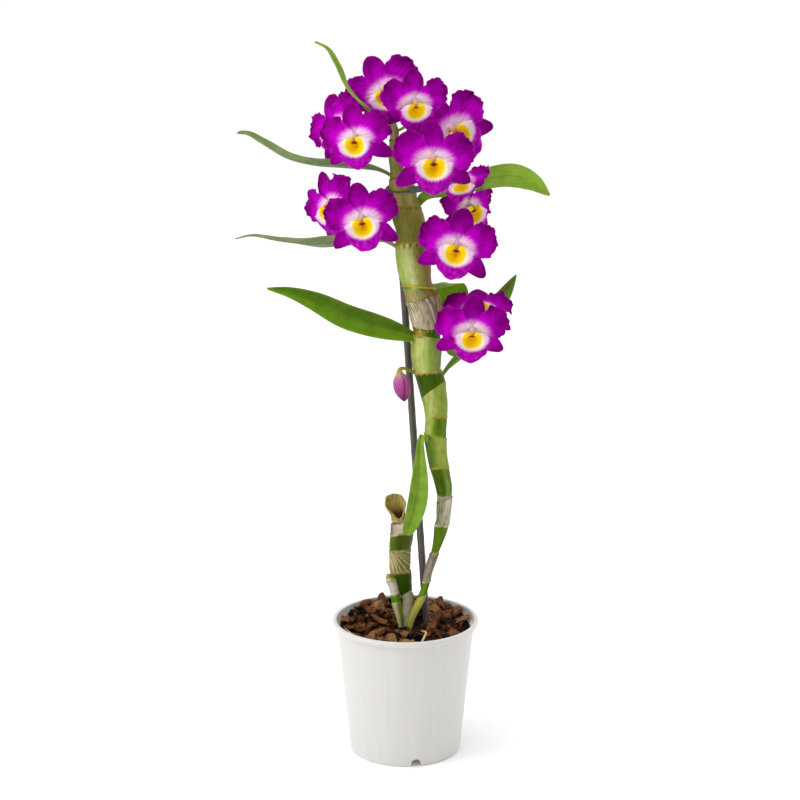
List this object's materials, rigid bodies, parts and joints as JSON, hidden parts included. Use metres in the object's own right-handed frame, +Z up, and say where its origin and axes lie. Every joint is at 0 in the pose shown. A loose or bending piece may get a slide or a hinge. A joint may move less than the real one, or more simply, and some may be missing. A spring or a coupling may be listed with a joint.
{
  "type": "potted dendrobium orchid",
  "caption": "Flowering dendrobium orchid: jointed canes with strap leaves and frilled blooms, clipped to a stake and standing in a bark-filled round plant pot.",
  "frame": {"origin": "centre of the pot's base, on the surface that it stands on", "axes": "+Z up along the canes, -Y towards the front, where most blooms face, +X to the right seen from the front"},
  "size_m": [0.2496, 0.12, 0.5865],
  "materials": {
    "pot_plastic": "satin white plastic",
    "bark": "rough damp bark chips",
    "root": "dry knobbly root",
    "cane": "smooth waxy green stem",
    "papery_sheath": "dry papery streaked sheath",
    "stake_plastic": "satin dark grey",
    "clip_plastic": "satin black",
    "leaf": "smooth fleshy leaf",
    "petal": "soft velvety petal",
    "bud": "soft closed bud"
  },
  "bodies": {
    "root": {"pot": "pot_plastic", "bark_medium": "bark", "rhizome_and_roots": "root", "cane_main": "cane", "cane_cut": "cane", "cut_cane_husk": "papery_sheath", "side_shoot": "cane", "papery_sheath_low": "papery_sheath", "papery_sheath_middle": "papery_sheath", "papery_sheath_upper": "papery_sheath", "support_stake": "stake_plastic", "stake_clip": "clip_plastic", "leaf_top": "leaf", "leaf_upper_left": "leaf", "leaf_middle_left": "leaf", "leaf_lower_left": "leaf", "leaf_upper_right": "leaf", "leaf_right_drooping": "leaf", "leaf_lower_right": "leaf", "leaf_front": "leaf", "bloom_top": "petal", "bloom_top_front": "petal", "bloom_upper_right": "petal", "bloom_upper_left": "petal", "bloom_far_left": "petal", "bloom_middle": "petal", "bloom_middle_right": "petal", "bloom_left": "petal", "bloom_left_outer": "petal", "bloom_right_behind": "petal", "bloom_right": "petal", "bloom_lowest": "petal", "bloom_lowest_behind": "petal", "bud": "bud"}
  },
  "joints": []
}
